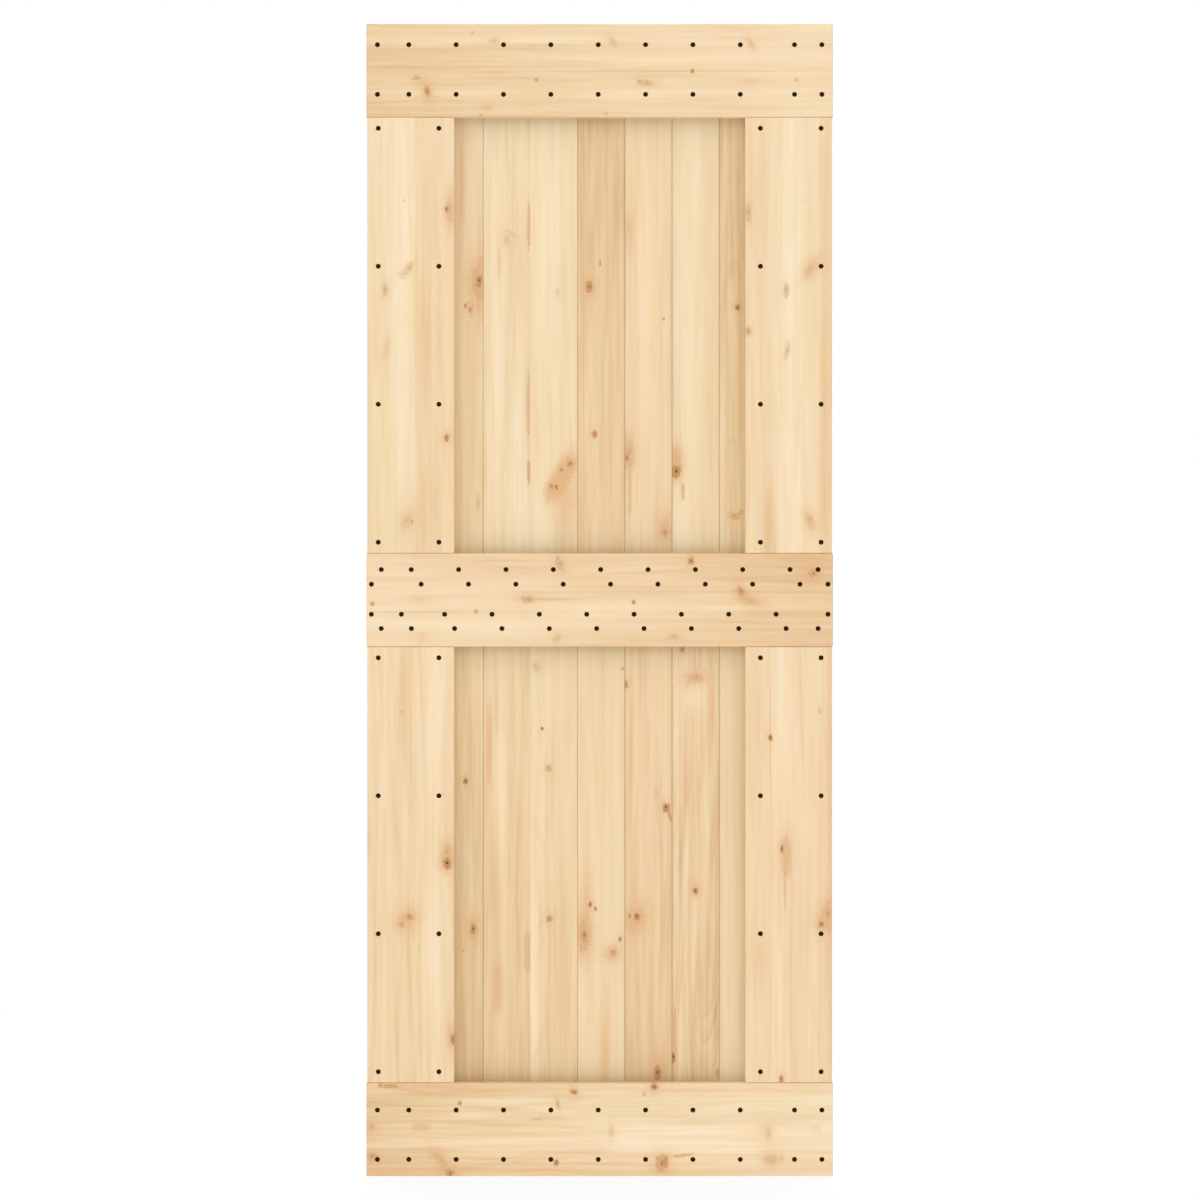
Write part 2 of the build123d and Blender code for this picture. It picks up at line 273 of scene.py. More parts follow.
        knot(-19, 477, 18, 24, 0.62, 1.0), streak(-23, 474, 4, 22, 0.74, 0.2),
        streak(-16, 474, 4, 20, 0.8, 0.2), streak(1, 434, 5, 13, 0.6, 0.2),
        knot(-9, 746, 12, 14, 0.7, 0.6), streak(20, 640, 5, 400, 0.0, 0.3),
        streak(-30, 560, 4, 300, 0.0, 0.3), streak(-36, 900, 14, 140, 0.0, 0.7),
        streak(30, 850, 30, 200, 0.0, 0.3),
    )),
    "upper_board_07": Plank(0.42, 0.06, 0.5, (-50, 25, 20), 9, 8, 0.11, (
        smudge(52, 366, 20, 66, 0, 0.3, 0.22), streak(58, 382, 6, 70, 0.1, 0.2, -8),
        smudge(54, 780, 22, 58, 0, 0.9, 0.34), knot(50, 790, 9, 15, 0.68, 0.4),
        streak(55, 850, 7, 94, 0.36, 0.5), streak(68, 850, 4, 60, 0.2, 0.2),
        knot(119, 926, 13, 15, 0.5, 0.8), smudge(119, 915, 22, 40, 0, 0.8, 0.2), pin(117, 536, 6, 0.48),
        streak(112, 560, 6, 260, 0.06, 0.3), pale(85, 560, 22, 300), streak(60, 1000, 6, 80, 0.1, 0.4),
    )),
    "upper_board_08": Plank(0.4, 0.06, 0.1, (40, 40, 20), 13, 10, 0.11, (
        knot(140, 814, 19, 27, 0.78, 1.0), smudge(141, 788, 19, 46, 0, 1.0, 0.28),
        streak(152, 849, 9, 34, 0.44, 0.0), pale(150, 920, 18, 160), pale(165, 500, 30, 500),
        streak(205, 650, 10, 400, 0, 0.2),
    )),
    "upper_board_09": Plank(0.51, -0.24, 0.25, (-20, 35, 60), 9, 16, 0.16, (
        knot(252, 515, 11, 12, 0.8, 0.8), smudge(246, 896, 24, 15, -20, 0.3, 0.43),
        streak(258, 890, 20, 10, 0.4, 0.2, 25), streak(232, 640, 5, 300, 0.1, 0.6),
        streak(258, 560, 6, 200, 0.2, 0.1), streak(240, 880, 10, 160, 0.0, 0.4),
    )),
    "upper_board_10": Plank(0.44, 0.0, 0.4, (15, 45, 30), 8, 14, 0.14, (
        knot(340, 420, 14, 18), knot(362, 850, 10, 16),
    )),
    "upper_board_11": Plank(0.41, 0.0, 0.4, (-30, 40, 10), 7, 10, 0.14),
    "lower_board_01": Plank(0.41, 0.0, 0.4, (-20, 50, 20), 7, 10, 0.14),
    "lower_board_02": Plank(0.39, 0.0, 0.4, (10, 40, 30), 8, 14, 0.14, (
        knot(-350, 1400, 14, 18), knot(-330, 1800, 10, 16),
    )),
    "lower_board_03": Plank(0.62, 0.34, 0.12, (-60, 30, 10), 7, 12, 0.12, (
        knot(-245, 1381, 10, 14, 0.82, 0.8), knot(-231, 1651, 11, 20, 0.8, 0.6),
        smudge(-231, 1652, 20, 42, 0, 0.8, 0.34), pin(-250, 1691, 5, 0.42),
        streak(-222, 1170, 4, 60, 0.2, 0.1), streak(-215, 1885, 4, 90, 0.2, 0.1),
        streak(-226, 1850, 16, 200, 0.0, 0.3),
    )),
    "lower_board_04": Plank(0.55, 0.23, 0.34, (70, 25, 20), 8, 12, 0.12, (
        stain(-202, 1316, 10, 130, 0.12, 0.85), streak(-188, 1250, 7, 90, 0.2, 0.5),
        stain(-187, 1756, 17, 84, 0.2, 0.9), stain(-131, 1693, 16, 78, 0.36, 0.4),
        streak(-192, 1600, 14, 220, 0, 0.45), streak(-166, 1500, 5, 400, 0.08, 0.3),
        streak(-142, 1880, 12, 130, 0.28, 0.3), pale(-178, 1450, 16, 400),
        streak(-152, 1700, 4, 300, 0.1, 0.2),
    )),
    "lower_board_05": Plank(0.49, 0.18, 0.32, (-22, 22, 70), 10, 16, 0.13, (
        knot(-105, 1285, 6, 7, 1.0, 0.1), smudge(-94, 1357, 16, 15, 30, 0.3, 0.45),
        knot(-92, 1632, 13, 14, 0.62, 0.8), smudge(-116, 1172, 16, 20, 25, 0.5, 0.3),
        streak(-110, 1480, 9, 60, 0.12, 0.2, 15), streak(-118, 1390, 4, 220, 0.1, 0.2),
        streak(-112, 1590, 6, 140, 0.1, 0.3, 5), streak(-111, 1862, 10, 70, 0.16, 0.2, -18),
        pale(-118, 1480, 16, 560), pale(-122, 1830, 16, 160), streak(-70, 1700, 14, 420, 0.0, 0.3),
    )),
    "lower_board_06": Plank(0.41, -0.05, 0.26, (60, 35, 20), 10, 12, 0.075, (
        knot(-17, 1606, 8, 13, 0.82, 0.4), pin(-8, 1614, 7, 0.68), smudge(-29, 1660, 21, 72, 0, 1.1, 0.4),
        knot(-28, 1662, 14, 26, 0.62, 0.8), knot(37, 1670, 7, 11, 0.7, 0.6),
        knot(25, 1693, 13, 15, 0.5, 0.7, -20), smudge(22, 1698, 18, 20, -30, 0.7, 0.2),
        pin(42, 1175, 6, 0.46), streak(-34, 1250, 4, 80, 0.2, 0.1), streak(10, 1880, 16, 130, 0.0, 0.8),
        streak(-24, 1580, 12, 80, 0.0, 0.5),
    )),
    "lower_board_07": Plank(0.56, 0.31, 0.6, (-45, 30, 20), 7, 10, 0.13, (
        knot(48, 1204, 8, 14, 0.63, 1.0), streak(45, 1180, 3, 60, 0.26, 0.1),
        knot(121, 1429, 15, 19, 0.8, 0.5), streak(127, 1442, 7, 27, 0.6, 0.0, 15),
        smudge(103, 1402, 10, 26, 0, 0.1, 0.26), knot(68, 1628, 14, 15, 0.8, 0.9),
        smudge(66, 1634, 40, 50, -15, 0.9, 0.26), knot(55, 1627, 7, 10, 0.65, 0.5),
        knot(106, 1913, 17, 30, 0.74, 1.0), smudge(112, 1902, 20, 50, 0, 0.6, 0.16),
        streak(116, 1790, 4, 260, 0.14, 0.1), streak(58, 1300, 6, 160, 0.0, 0.5),
    )),
    "lower_board_08": Plank(0.57, 0.22, 0.52, (15, 24, -80), 9, 18, 0.2, (
        smudge(177, 1192, 32, 18, 0, 0.9, 0.3), knot(177, 1191, 8, 9.6, 0.46, 0.3),
        smudge(162, 1200, 6, 26, -20, 0.4, 0.24), streak(174, 1160, 4, 60, 0.2, 0.3, 8),
        knot(151, 1139, 10, 13, 0.54, 0.3), knot(175, 1581, 10, 12, 0.88, 0.8),
        smudge(174, 1572, 16, 30, 0, 0.5, 0.1), knot(135, 1885, 9, 24, 0.82, 0.9),
        streak(137, 1830, 6, 110, 0.46, 0.3), stain(202, 1288, 9, 120, 0.06, 0.6),
        streak(208, 1250, 5, 80, 0.1, 0.7), streak(150, 1440, 7, 90, 0.14, 0.2, -18),
        streak(150, 1720, 5, 200, 0.26, 0.2, -4), streak(164, 1760, 5, 160, 0.14, 0.2, 4),
        smudge(215, 1913, 10, 21, 0, 0.2, 0.48), streak(213, 1720, 8, 160, 0.2, 0.1),
        pale(176, 1226, 26, 40), streak(150, 1290, 5, 160, 0.1, 0.2),
    )),
    "lower_board_09": Plank(0.41, -0.06, 0.24, (40, 40, 10), 13, 10, 0.1),
    "lower_board_10": Plank(0.39, 0.0, 0.4, (-10, 45, 30), 8, 14, 0.14, (
        knot(340, 1350, 14, 18), knot(355, 1760, 10, 16),
    )),
    "lower_board_11": Plank(0.44, 0.0, 0.4, (20, 45, 10), 7, 10, 0.14),
}


def linear(red, green, blue):
    """A screen colour, 0 to 255, as the shader's linear colour."""
    def channel(value):
        value /= 255
        return value / 12.92 if value <= 0.04045 else ((value + 0.055) / 1.055) ** 2.4

    return channel(red), channel(green), channel(blue), 1.0


class Tree:
    """Adds nodes to one node tree. A value that is a socket is linked, and any other is typed in."""

    def __init__(self, tree):
        self.tree = tree

    def put(self, socket, value):
        if isinstance(value, bpy.types.NodeSocket):
            self.tree.links.new(value, socket)
        else:
            socket.default_value = value

    def node(self, kind, values=None, **settings):
        made = self.tree.nodes.new(kind)
        for name, value in settings.items():
            setattr(made, name, value)
        for key, value in (values or {}).items():
            self.put(made.inputs[key], value)
        return made

    def math(self, operation, *values, clamp=False):
        made = self.node("ShaderNodeMath", dict(enumerate(values)), operation=operation, use_clamp=clamp)
        return made.outputs[0]

    def add(self, a, b):
        return self.math("ADD", a, b)

    def less(self, a, b):
        return self.math("SUBTRACT", a, b)

    def times(self, a, b):
        return self.math("MULTIPLY", a, b)

    def over(self, a, b):
        return self.math("DIVIDE", a, b)

    def times_add(self, a, b, c):
        return self.math("MULTIPLY_ADD", a, b, c)

    def least(self, a, b):
        return self.math("MINIMUM", a, b)

    def most(self, a, b):
        return self.math("MAXIMUM", a, b)

    def length(self, a, b):
        vector = self.node("ShaderNodeCombineXYZ", {0: a, 1: b}).outputs[0]
        return self.node("ShaderNodeVectorMath", {0: vector}, operation="LENGTH").outputs["Value"]

    def bell(self, distance, narrow):
        """1 in the middle, fading to nothing with the square of the distance."""
        return self.math("EXPONENT", self.times(self.times(distance, distance), -narrow))

    def ease(self, value, low, high):
        """0 before low and 1 after high, with a soft step between them."""
        made = self.node(
            "ShaderNodeMapRange",
            {"Value": value, "From Min": low, "From Max": high},
            interpolation_type="SMOOTHSTEP",
        )
        return made.outputs[0]

    def scaled(self, vector, scale):
        made = self.node("ShaderNodeVectorMath", {0: vector, "Scale": scale}, operation="SCALE")
        return made.outputs[0]

    def noise(self, vector, detail=0.0):
        made = self.node("ShaderNodeTexNoise", {"Vector": vector, "Scale": 1.0, "Detail": detail})
        return made.outputs[0]

    def noise_line(self, place, detail=0.0):
        made = self.node(
            "ShaderNodeTexNoise",
            {"W": place, "Scale": 1.0, "Detail": detail},
            noise_dimensions="1D",
        )
        return made.outputs[0]

    def mix(self, factor, a, b, blend="MIX"):
        made = self.node("ShaderNodeMix", {0: factor, 6: a, 7: b}, data_type="RGBA", blend_type=blend)
        return made.outputs[2]

    def ramp(self, value, stops, interpolation="LINEAR"):
        made = self.node("ShaderNodeValToRGB", {0: value})
        ramp = made.color_ramp
        ramp.interpolation = interpolation
        while len(ramp.elements) < len(stops):
            ramp.elements.new(1.0)
        for element, (position, colour) in zip(ramp.elements, stops):
            element.position = position
            element.color = colour
        return made.outputs[0]

    def colour_ramp(self, value, stops):
        return self.ramp(value, [(position, linear(*colour)) for position, colour in stops])


def new_group(name, inputs, outputs):
    """An empty shader group with number inputs; gives the group, its tree and both of its ends."""
    group = bpy.data.node_groups.new(name, "ShaderNodeTree")
    for label in inputs:
        group.interface.new_socket(label, in_out="INPUT", socket_type="NodeSocketFloat")
    for label, kind in outputs:
        group.interface.new_socket(label, in_out="OUTPUT", socket_type=kind)
    tree = Tree(group)
    return group, tree, tree.node("NodeGroupInput").outputs, tree.node("NodeGroupOutput").inputs


# A feature's form, by the distance from its middle, which is 1 at its edge
RAGGED_EDGE = 2.2  # how far its outline wanders
BODY_EDGE = 1.2  # its body fades in from here
BODY_DARK = 0.71
BODY_FULL, SQUARE_FULLER, BODY_FULLEST = 0.31, 0.12, 0.9  # it is full inside this, more so if square
RIM_PLACE, RIM_NARROW, RIM_DARK = 0.75, 12.0, 0.9  # a dark rim along its lower or left side
EYE_EDGE, EYE_MIDDLE = 0.6, 0.1
EYE_DARK, KNOT_EYE_DARK = 0.75, 0.5  # the eye of a streak, and what a knot's eye adds to it
HALO_NARROW, KNOT_HALO_WIDER = 0.55, -0.22
BEND_NARROW = 0.3


def feature_group():
    """One knot or streak: adds its bend to the rings, and its core and amber surround to the masks."""
    group, t, given, out = new_group(
        "wood_feature",
        ("Along", "Across", "Ragged", "Bend", "Core", "Halo", "Along Centre", "Across Centre", "Half Along",
         "Half Across", "Cosine", "Sine", "Core Depth", "Halo Depth", "Bend Reach", "Square"),
        (("Bend", "NodeSocketFloat"), ("Core", "NodeSocketFloat"), ("Halo", "NodeSocketFloat")),
    )
    along = t.less(given["Along"], given["Along Centre"])
    across = t.less(given["Across"], given["Across Centre"])
    long_way = t.times_add(along, given["Cosine"], t.times(across, given["Sine"]))
    short_way = t.less(t.times(across, given["Cosine"]), t.times(along, given["Sine"]))
    long_share = t.over(long_way, given["Half Along"])
    long_power = t.math("POWER", t.math("ABSOLUTE", long_share), given["Square"])
    short_share = t.math("ABSOLUTE", t.over(short_way, given["Half Across"]))
    spread = t.add(long_power, t.math("POWER", short_share, given["Square"]))
    smooth = t.math("POWER", spread, t.over(1.0, given["Square"]))
    wander = t.times(t.less(given["Ragged"], 0.5), t.over(RAGGED_EDGE, given["Square"]))
    ragged = t.times(smooth, t.add(wander, 1.0))
    inside = t.least(t.times_add(given["Square"], SQUARE_FULLER, BODY_FULL), BODY_FULLEST)
    body = t.times(t.ease(ragged, BODY_EDGE, inside), BODY_DARK)
    below = t.math("MULTIPLY_ADD", long_share, -0.5, 0.5, clamp=True)
    rim = t.times(t.bell(t.less(ragged, RIM_PLACE), RIM_NARROW), t.times(below, RIM_DARK))
    eye_dark = t.times_add(given["Bend Reach"], KNOT_EYE_DARK, EYE_DARK)
    eye = t.times(t.ease(ragged, EYE_EDGE, EYE_MIDDLE), eye_dark)
    core = t.times(t.most(body, t.most(rim, eye)), given["Core Depth"])
    fade = t.math("POWER", ragged, given["Square"])
    narrow = t.times_add(given["Bend Reach"], KNOT_HALO_WIDER, HALO_NARROW)
    halo = t.times(t.math("EXPONENT", t.times(fade, t.times(narrow, -1.0))), given["Halo Depth"])
    bend = t.times(t.times(t.bell(smooth, BEND_NARROW), given["Half Across"]), given["Bend Reach"])
    t.put(out["Bend"], t.add(given["Bend"], bend))
    t.put(out["Core"], t.most(given["Core"], core))
    t.put(out["Halo"], t.add(given["Halo"], halo))
    return group


# The figure of the wood. Each size is across the grain and along it, in millimetres.
STREAK_SIZE, STREAK_SHARE = (9.0, 220.0), 4.1
BAND_SIZE, BAND_SHARE = (26.0, 320.0), 2.1
FIBRE_SIZE, FIBRE_SHARE = (1.4, 60.0), 0.14
PINK_SIZE, PINK_SHARE = (20.0, 320.0), 2.0
GOLD_SIZE, GOLD_SHARE, GOLD_LEAST = (24.0, 280.0), 3.0, 0.2
WOBBLE_SIZE, WOBBLE_LEAST, WOBBLE_BY_SWAY = (28.0, 110.0), 2.0, 0.4  # of the rings
PATCH_SIZE, PATCH_FROM, PATCH_TO = (34.0, 260.0), -0.14, 0.3  # where the rings show
SWAY_LENGTH = 330.0  # of the pith
YEARS_APART, YEARS_UNEVEN = 25.0, 3.5  # how the width of the rings varies
WEAKEST_YEAR = 0.3
RING_STEPS = ((0.0, (0.0,) * 4), (0.45, (0.25,) * 4), (0.8, (1.0,) * 4), (1.0, (0.0,) * 4))
END_DARKER = 0.25  # end grain
PALE_SHARE = 0.4
AMBER_SHARE = 0.85
CORE_FULL = 0.5  # from here a core hides the wood under it
WOOD_ROUGHNESS, STREAK_ROUGHNESS, CORE_ROUGHNESS = 0.6, 0.12, -0.12
RING_HEIGHT, FIBRE_HEIGHT = 0.5, 0.8
WOOD_SHINE = 0.3


def pine_group():
    """The wood itself: rings about a wandering pith, soft streaks and fine fibres along the grain."""
    group, t, given, out = new_group(
        "pine",
        ("Along", "Across", "Depth", "Bend", "Core", "Halo", "Tone", "Rosy", "Pith Across", "Pith Depth",
         "Ring Width", "Sway", "Contrast", "Seed", "End", "Painted Shade"),
        (("Colour", "NodeSocketColor"), ("Roughness", "NodeSocketFloat"), ("Height", "NodeSocketFloat")),
    )
    along, across, depth, seed = given["Along"], given["Across"], given["Depth"], given["Seed"]

    def grain(size, shift):
        """Noise drawn out along the grain, about zero. shift tells one pattern from another."""
        across_size, along_size = size
        place = t.add(t.over(along, along_size), t.add(seed, shift))
        parts = {0: t.over(across, across_size), 1: t.over(depth, across_size), 2: place}
        return t.less(t.noise(t.node("ShaderNodeCombineXYZ", parts).outputs[0], 1.0), 0.5)

    def sway(shift):
        wander = t.noise_line(t.add(t.over(along, SWAY_LENGTH), t.add(seed, shift)), 1.0)
        return t.times(t.less(wander, 0.5), t.times(given["Sway"], 2.0))

    from_pith = t.length(
        t.add(t.less(across, given["Pith Across"]), sway(11.0)),
        t.add(t.less(depth, given["Pith Depth"]), sway(23.0)),
    )
    wobble = t.times(grain(WOBBLE_SIZE, 5.0), t.times_add(given["Sway"], WOBBLE_BY_SWAY, WOBBLE_LEAST))
    radius = t.add(t.add(from_pith, wobble), given["Bend"])
    uneven = t.noise_line(t.add(t.over(radius, YEARS_APART), seed))
    count = t.times_add(uneven, YEARS_UNEVEN, t.over(radius, given["Ring Width"]))
    ring = t.ramp(t.math("FRACT", count), RING_STEPS)
    year = t.node("ShaderNodeTexWhiteNoise", {"W": t.math("FLOOR", count)}, noise_dimensions="1D")
    rings_show = t.ease(grain(PATCH_SIZE, 71.0), PATCH_FROM, PATCH_TO)
    late = t.times(t.times(ring, rings_show), t.times_add(year.outputs[0], 1.0, WEAKEST_YEAR))

    streaks = grain(STREAK_SIZE, 31.0)
    bands = grain(BAND_SIZE, 47.0)
    pink = grain(PINK_SIZE, 83.0)
    gold = grain(GOLD_SIZE, 97.0)
    fibre = grain(FIBRE_SIZE, 61.0)

    figure = t.times_add(bands, BAND_SHARE, t.times_add(streaks, STREAK_SHARE, late))
    tone = t.times_add(figure, given["Contrast"], given["Tone"])
    tone = t.times_add(fibre, FIBRE_SHARE, tone)
    tone = t.times_add(given["End"], END_DARKER, tone)
    tone = t.times_add(t.least(given["Halo"], 0.0), PALE_SHARE, tone)
    colour = t.colour_ramp(tone, PINE_RAMP)
    rosy = t.math("MULTIPLY_ADD", pink, PINK_SHARE, given["Rosy"], clamp=True)
    tint = t.mix(rosy, linear(*STRAW_TINT), linear(*ROSY_TINT))
    colour = t.mix(1.0, colour, tint, "MULTIPLY")
    golden = t.math("MULTIPLY_ADD", gold, GOLD_SHARE, GOLD_LEAST, clamp=True)
    colour = t.mix(golden, colour, linear(*GOLDEN_TINT), "MULTIPLY")
    amber = t.math("MULTIPLY", given["Halo"], AMBER_SHARE, clamp=True)
    colour = t.mix(amber, colour, linear(*AMBER))
    core = t.least(given["Core"], 1.0)
    colour = t.mix(t.ease(core, 0.0, CORE_FULL), colour, t.colour_ramp(core, KNOT_RAMP))
    # painted shade of the recess and the seams, multiplied into the wood's colour
    colour = t.mix(given["Painted Shade"], colour, linear(*PAINTED_SHADE_TINT), "MULTIPLY")
    t.put(out["Colour"], colour)
    roughness = t.times_add(core, CORE_ROUGHNESS, WOOD_ROUGHNESS)
    t.put(out["Roughness"], t.times_add(streaks, STREAK_ROUGHNESS, roughness))
    t.put(out["Height"], t.add(t.times(late, RING_HEIGHT), t.times(fibre, FIBRE_HEIGHT)))
    return group


FEATURE_GROUP = feature_group()
PINE_GROUP = pine_group()
SEED_STEP = 7.31  # from plank to plank
RAGGED_SCALE = 0.16  # of the features' outlines, per millimetre
END_FROM, END_TO = 0.5, 0.9  # a face turned this far along the grain turns into end grain
BUMP_DEPTH = 0.2 * MM
BUMP_STRENGTH = 0.3
PAINTED_SHADE_REACH = 26.0  # how far the painted shade beside the frame runs out over the boards
PAINTED_SHADE_DEPTH = 3.0  # and how far into the seams
RAIL_PAINTED_SHADE = 0.95  # how much of it there is along the rails
STILE_PAINTED_SHADE = 0.45  # and along the stiles
PAINTED_SHADE_SEAMS = (6, 7, 8)  # the boards with painted shade along the seam on their right
LEFT_PAINTED_SHADE, LEFT_REACH = 0.3, 5.0  # the painted shade on the board to the left of such a seam
RIGHT_PAINTED_SHADE, RIGHT_REACH = 0.33, 3.0  # and on the board to the right of it


def painted_seam_shades(t, name, x):
    """The painted shade on a board's face along the chosen seams beside it."""
    tier, _, number = name.split("_")
    number = int(number)
    shades = []
    if number in PAINTED_SHADE_SEAMS:
        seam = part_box(f"{tier}_board_{number + 1:02d}")[0].x / MM
        shades.append(t.times(t.bell(t.less(seam, x), LEFT_REACH ** -2), LEFT_PAINTED_SHADE))
    if number - 1 in PAINTED_SHADE_SEAMS:
        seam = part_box(name)[0].x / MM
        shades.append(t.times(t.bell(t.less(x, seam), RIGHT_REACH ** -2), RIGHT_PAINTED_SHADE))
    return shades


def painted_shade_mask(t, name, x, depth, z):
    """1 on a board's face where it meets the frame, fading away from it, and along some seams: the painted
    shade of the recess and of those seams.
    """
    tier = name.split("_")[0]
    upper, lower = ("top_rail", "middle_rail") if tier == "upper" else ("middle_rail", "bottom_rail")
    left_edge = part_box(f"{tier}_left_stile")[1].x / MM
    right_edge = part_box(f"{tier}_right_stile")[0].x / MM
    upper_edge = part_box(upper)[0].z / MM
    lower_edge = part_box(lower)[1].z / MM
    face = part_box(name)[0].y / MM
    distances = [t.less(x, left_edge), t.less(right_edge, x), t.less(upper_edge, z), t.less(z, lower_edge)]
    shades = [t.math("EXPONENT", t.over(t.most(distance, 0.0), -PAINTED_SHADE_REACH)) for distance in distances]
    depths = (STILE_PAINTED_SHADE, STILE_PAINTED_SHADE, RAIL_PAINTED_SHADE, RAIL_PAINTED_SHADE)
    shades = [t.times(shade, share) for shade, share in zip(shades, depths)]
    clear = 1.0
    for shade in shades + painted_seam_shades(t, name, x):
        clear = t.times(clear, t.less(1.0, shade))
    return t.times(t.less(1.0, clear), t.ease(depth, face + PAINTED_SHADE_DEPTH, face + PAINTED_SHADE_DEPTH / 2))


def plank_material(name, plank, seed):
    """The pine of one plank, from its own list of features."""
    low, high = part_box(name)
    lies = name.endswith("rail")
    material = bpy.data.materials.new(f"pine_{name}")
    material.use_nodes = True
    t = Tree(material.node_tree)
    t.tree.nodes.clear()
    place = t.node("ShaderNodeTexCoord").outputs
    millimetres = t.scaled(place["Object"], 1 / MM)
    x, depth, z = t.node("ShaderNodeSeparateXYZ", {0: millimetres}).outputs
    normal_x, _, normal_z = t.node("ShaderNodeSeparateXYZ", {0: place["Normal"]}).outputs
    along, across, facing = (x, z, normal_x) if lies else (z, x, normal_z)
    across_low, across_high = (low.z / MM, high.z / MM) if lies else (low.x / MM, high.x / MM)
    end = t.ease(t.math("ABSOLUTE", facing), END_FROM, END_TO)
    ragged = t.noise(t.scaled(millimetres, RAGGED_SCALE), 2.0)

    bend, core, halo = 0.0, 0.0, 0.0
    for feature in plank.features:
        height = TOP_MM - feature.down
        turn = math.radians(feature.tilt if lies else -feature.tilt)
        made = t.node("ShaderNodeGroup", node_tree=FEATURE_GROUP)
        values = {
            "Along": along, "Across": across, "Ragged": ragged, "Bend": bend, "Core": core, "Halo": halo,
            "Along Centre": feature.x if lies else height,
            "Across Centre": height if lies else feature.x,
            "Half Along": (feature.wide if lies else feature.tall) / 2,
            "Half Across": (feature.tall if lies else feature.wide) / 2,
            "Cosine": math.cos(turn), "Sine": math.sin(turn),
            "Core Depth": feature.core, "Halo Depth": feature.halo, "Bend Reach": feature.bend,
            "Square": feature.square,
        }
        for key, value in values.items():
            t.put(made.inputs[key], value)
        bend, core, halo = made.outputs

    first, last = (low.x / MM, high.x / MM) if lies else (high.z / MM, low.z / MM)
    drift_per_mm = plank.drift / (last - first)
    tone = t.times_add(along, drift_per_mm, plank.tone - drift_per_mm * (first + last) / 2)
    pith_aside, pith_in, pith_lean = plank.pith
    pith_across = (across_low + across_high) / 2 + pith_aside
    lean_per_mm = pith_lean / 1000
    pith_depth = t.times_add(along, lean_per_mm, low.y / MM + pith_in - lean_per_mm * (first + last) / 2)
    rosy = plank.rosy
    if plank.strips:
        share = t.over(t.less(across, across_low), across_high - across_low)
        stops = [
            (strip.start, (0.5 + strip.tone, 0.5 + strip.pith / PITH_SPAN, 0.5 + strip.rosy, 1.0))
            for strip in plank.strips
        ]
        strip_looks = t.ramp(share, stops, "CONSTANT")
        strip_tone, strip_pith, strip_rosy = t.node("ShaderNodeSeparateColor", {0: strip_looks}).outputs
        tone = t.add(tone, t.less(strip_tone, 0.5))
        rosy = t.add(strip_rosy, rosy - 0.5)
        pith_across = t.times_add(strip_pith, PITH_SPAN, pith_across - PITH_SPAN / 2)

    wood = t.node("ShaderNodeGroup", node_tree=PINE_GROUP)
    values = {
        "Along": along, "Across": across, "Depth": depth, "Bend": bend, "Core": core, "Halo": halo,
        "Tone": tone, "Rosy": rosy, "Pith Across": pith_across, "Pith Depth": pith_depth,
        "Ring Width": plank.ring, "Sway": plank.sway, "Contrast": plank.contrast, "Seed": seed, "End": end,
        # only the boards get the painted shade, beside the frame and along some seams
        "Painted Shade": painted_shade_mask(t, name, x, depth, z) if "board" in name else 0.0,
    }
    for key, value in values.items():
        t.put(wood.inputs[key], value)
    colour, roughness, height = wood.outputs
    bump = t.node("ShaderNodeBump", {"Strength": BUMP_STRENGTH, "Distance": BUMP_DEPTH, "Height": height})
    surface = t.node("ShaderNodeBsdfPrincipled", {
        "Base Color": colour, "Roughness": roughness, "Normal": bump.outputs[0],
        "Specular IOR Level": WOOD_SHINE,
    })
    t.put(t.node("ShaderNodeOutputMaterial").inputs["Surface"], surface.outputs[0])
    return material


def dress_planks():
    for number, (name, plank) in enumerate(PLANKS.items()):
        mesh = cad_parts[name].data
        mesh.materials.clear()
        mesh.materials.append(plank_material(name, plank, SEED_STEP * number))


def screw_material():
    """Black phosphated steel, worn a little brighter in patches."""
    material = bpy.data.materials.new("screw_black")
    material.use_nodes = True
    t = Tree(material.node_tree)
    t.tree.nodes.clear()
    place = t.node("ShaderNodeTexCoord").outputs["Object"]
    wear = t.noise(t.scaled(place, WEAR_SCALE), 2.0)
    colour = t.mix(t.ease(wear, WEAR_FROM, WEAR_TO), linear(*SCREW_BLACK), linear(*SCREW_WORN))
    bump = t.node("ShaderNodeBump", {
        "Strength": SCREW_BUMP_STRENGTH, "Distance": SCREW_BUMP_DEPTH, "Height": wear,
    })
    surface = t.node("ShaderNodeBsdfPrincipled", {
        "Base Color": colour, "Roughness": t.times_add(wear, WEAR_ROUGHNESS, SCREW_ROUGHNESS),
        "Normal": bump.outputs[0], "Specular IOR Level": SCREW_SHINE,
    })
    t.put(t.node("ShaderNodeOutputMaterial").inputs["Surface"], surface.outputs[0])
    return material


# Screws: their places follow the boards, as the countersunk holes do
SCREW_SIZES = {
    "Head Radius": 4.55 * MM,
    "Head Depth": 2.3 * MM,
    "Shank Radius": 2.2 * MM,
    "Shank Length": 15.0 * MM,
    "Recess Span": 2.8 * MM,
    "Recess Width": 0.6 * MM,
    "Recess Depth": 1.6 * MM,
}
HEAD_BELOW_FACE = 0.25 * MM
HEAD_SIDES = 12
SHANK_SIDES = 8
SHANK_TAPER = 0.6  # what is left of the shank's radius at its tip
RECESS_TAPER = 0.25  # what is left of the recess at its bottom
TURN_SEED = 4
SEAM_GAP = 0.4 * MM
# Top and bottom rails: a positive row is below the rail's upper edge, a negative one above its lower edge
TOP_RAIL_ROWS = (38.0 * MM, -41.5 * MM)
BOTTOM_RAIL_ROWS = (49.5 * MM, -30.5 * MM)
RAIL_SHIFT = -5.5 * MM  # from the middle line of a full board
LAST_SHIFT = 7.0 * MM  # the same on the last full board
EDGE_INSET = 18.5 * MM  # on the edge boards, from the edge of the panel
